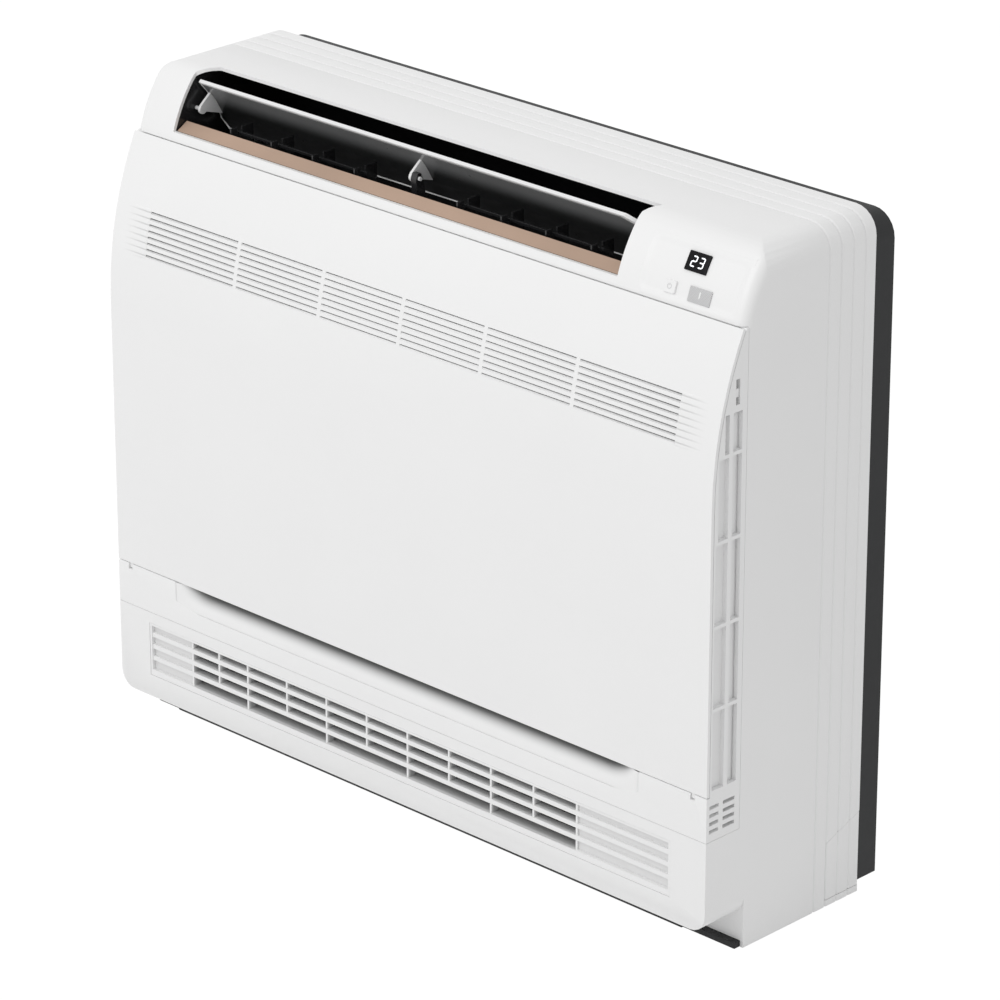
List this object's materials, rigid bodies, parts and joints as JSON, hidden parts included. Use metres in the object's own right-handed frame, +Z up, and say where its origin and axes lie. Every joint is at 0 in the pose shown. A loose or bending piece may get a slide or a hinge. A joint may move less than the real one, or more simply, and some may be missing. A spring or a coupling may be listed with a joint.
{
  "type": "floor console air conditioner",
  "caption": "Slim floor console air conditioner: curved front panel, open top flap over vanes, bottom grille, side air inlets, fan, coil and tray inside a white cabinet.",
  "frame": {"origin": "middle of the base, on the floor", "axes": "+X along the width to the right seen from the front, +Y from the front to the wall, +Z up"},
  "size_m": [0.7, 0.215, 0.6],
  "materials": {
    "white_shell": "fine satin",
    "flap_grey": "satin",
    "duct_black": "satin",
    "filter_grey": "matt",
    "scroll_black": "matt foam",
    "inner_grey": "satin",
    "seal_tan": "matt",
    "display_black": "gloss",
    "receiver_grey": "gloss",
    "plate_dark": "satin",
    "motor_steel": "satin",
    "box_steel": "satin",
    "fin_aluminium": "satin",
    "copper": "satin",
    "nut_brass": "satin",
    "board_green": "satin"
  },
  "bodies": {
    "cabinet": {"air_filter_left": "filter_grey", "air_filter_right": "filter_grey", "back_plate": "plate_dark", "base_plate": "plate_dark", "bell_mouth": "inner_grey", "circuit_board": "board_green", "coil_end_plate_left": "copper", "coil_end_plate_right": "copper", "control_cover": "white_shell", "damper_motor": "motor_steel", "display_board": "board_green", "display_window": "display_black", "drip_tray": "inner_grey", "electrical_box": "box_steel", "electrical_box_cover": "box_steel", "evaporator_fins": "fin_aluminium", "fan_motor": "motor_steel", "fan_scroll": "scroll_black", "flap_hanger": "inner_grey", "flap_motor": "motor_steel", "front_frame": "white_shell", "gas_flare_nut": "nut_brass", "gas_pipe": "copper", "knockout_cover_left": "white_shell", "knockout_cover_right": "white_shell", "liquid_flare_nut": "nut_brass", "liquid_pipe": "copper", "lower_duct": "duct_black", "lower_grille": "white_shell", "main_housing": "white_shell", "outlet_duct": "duct_black", "outlet_seal_strip": "seal_tan", "receiver_window": "receiver_grey", "terminal_block": "white_shell", "vane_motor_left": "motor_steel", "vane_motor_right": "motor_steel"},
    "front_panel": {"front_panel": "white_shell"},
    "outlet_flap": {"outlet_flap": "flap_grey"},
    "fan_wheel": {"fan_wheel": "inner_grey"},
    "bottom_damper": {"bottom_damper": "duct_black"},
    "power_button": {"power_button": "white_shell"},
    "stopper_left": {"panel_stopper_left": "white_shell"},
    "stopper_right": {"panel_stopper_right": "white_shell"},
    "vane_left_1": {"left_vane_1": "duct_black"},
    "vane_left_2": {"left_vane_2": "duct_black"},
    "vane_left_3": {"left_vane_3": "duct_black"},
    "vane_left_4": {"left_vane_4": "duct_black"},
    "link_rod_left": {"left_link_rod": "inner_grey"},
    "vane_right_1": {"right_vane_1": "duct_black"},
    "vane_right_2": {"right_vane_2": "duct_black"},
    "vane_right_3": {"right_vane_3": "duct_black"},
    "vane_right_4": {"right_vane_4": "duct_black"},
    "link_rod_right": {"right_link_rod": "inner_grey"}
  },
  "joints": [
    {"name": "panel_hinge", "type": "hinge", "parent": "cabinet", "child": "front_panel", "pos_m": [0, -0.1045, 0.1475], "axis": [1, 0, 0], "range_deg": [0, 45]},
    {"name": "flap_hinge", "type": "hinge", "parent": "cabinet", "child": "outlet_flap", "pos_m": [0, -0.0435, 0.5645], "axis": [1, 0, 0], "range_deg": [-5, 115]},
    {"name": "fan_spin", "type": "hinge", "parent": "cabinet", "child": "fan_wheel", "pos_m": [-0.0225, 0.0125, 0.316], "axis": [0, 1, 0], "continuous": true},
    {"name": "damper_hinge", "type": "hinge", "parent": "cabinet", "child": "bottom_damper", "pos_m": [0, -0.0455, 0.0735], "axis": [1, 0, 0], "range_deg": [-20, 70]},
    {"name": "button_press", "type": "slide", "parent": "cabinet", "child": "power_button", "axis": [0, 0.9357, -0.3528], "range_m": [0, 0.0008], "stiffness_N_per_m": 300},
    {"name": "stopper_left_slide", "type": "slide", "parent": "cabinet", "child": "stopper_left", "axis": [0, 0, 1], "range_m": [0, 0.008]},
    {"name": "stopper_right_slide", "type": "slide", "parent": "cabinet", "child": "stopper_right", "axis": [0, 0, 1], "range_m": [0, 0.008]},
    {"name": "vane_left_1_swing", "type": "hinge", "parent": "cabinet", "child": "vane_left_1", "pos_m": [-0.25, -0.0325, 0.545], "axis": [0, 0, 1], "range_deg": [-35, 35]},
    {"name": "vane_left_2_swing", "type": "hinge", "parent": "cabinet", "child": "vane_left_2", "pos_m": [-0.2, -0.0325, 0.545], "axis": [0, 0, 1], "range_deg": [-35, 35]},
    {"name": "vane_left_3_swing", "type": "hinge", "parent": "cabinet", "child": "vane_left_3", "pos_m": [-0.15, -0.0325, 0.545], "axis": [0, 0, 1], "range_deg": [-35, 35]},
    {"name": "vane_left_4_swing", "type": "hinge", "parent": "cabinet", "child": "vane_left_4", "pos_m": [-0.1, -0.0325, 0.545], "axis": [0, 0, 1], "range_deg": [-35, 35]},
    {"name": "link_rod_left_pivot", "type": "hinge", "parent": "vane_left_1", "child": "link_rod_left", "pos_m": [-0.25, -0.0445, 0.555], "axis": [0, 0, 1], "range_deg": [-40, 40]},
    {"name": "vane_right_1_swing", "type": "hinge", "parent": "cabinet", "child": "vane_right_1", "pos_m": [0.02, -0.0325, 0.545], "axis": [0, 0, 1], "range_deg": [-35, 35]},
    {"name": "vane_right_2_swing", "type": "hinge", "parent": "cabinet", "child": "vane_right_2", "pos_m": [0.07, -0.0325, 0.545], "axis": [0, 0, 1], "range_deg": [-35, 35]},
    {"name": "vane_right_3_swing", "type": "hinge", "parent": "cabinet", "child": "vane_right_3", "pos_m": [0.12, -0.0325, 0.545], "axis": [0, 0, 1], "range_deg": [-35, 35]},
    {"name": "vane_right_4_swing", "type": "hinge", "parent": "cabinet", "child": "vane_right_4", "pos_m": [0.17, -0.0325, 0.545], "axis": [0, 0, 1], "range_deg": [-35, 35]},
    {"name": "link_rod_right_pivot", "type": "hinge", "parent": "vane_right_1", "child": "link_rod_right", "pos_m": [0.02, -0.0445, 0.555], "axis": [0, 0, 1], "range_deg": [-40, 40]}
  ],
  "couplings": [
    {"joint": "vane_left_2_swing", "follows": "vane_left_1_swing", "ratio": 1},
    {"joint": "vane_left_3_swing", "follows": "vane_left_1_swing", "ratio": 1},
    {"joint": "vane_left_4_swing", "follows": "vane_left_1_swing", "ratio": 1},
    {"joint": "link_rod_left_pivot", "follows": "vane_left_1_swing", "ratio": -1},
    {"joint": "vane_right_2_swing", "follows": "vane_right_1_swing", "ratio": 1},
    {"joint": "vane_right_3_swing", "follows": "vane_right_1_swing", "ratio": 1},
    {"joint": "vane_right_4_swing", "follows": "vane_right_1_swing", "ratio": 1},
    {"joint": "link_rod_right_pivot", "follows": "vane_right_1_swing", "ratio": -1}
  ]
}
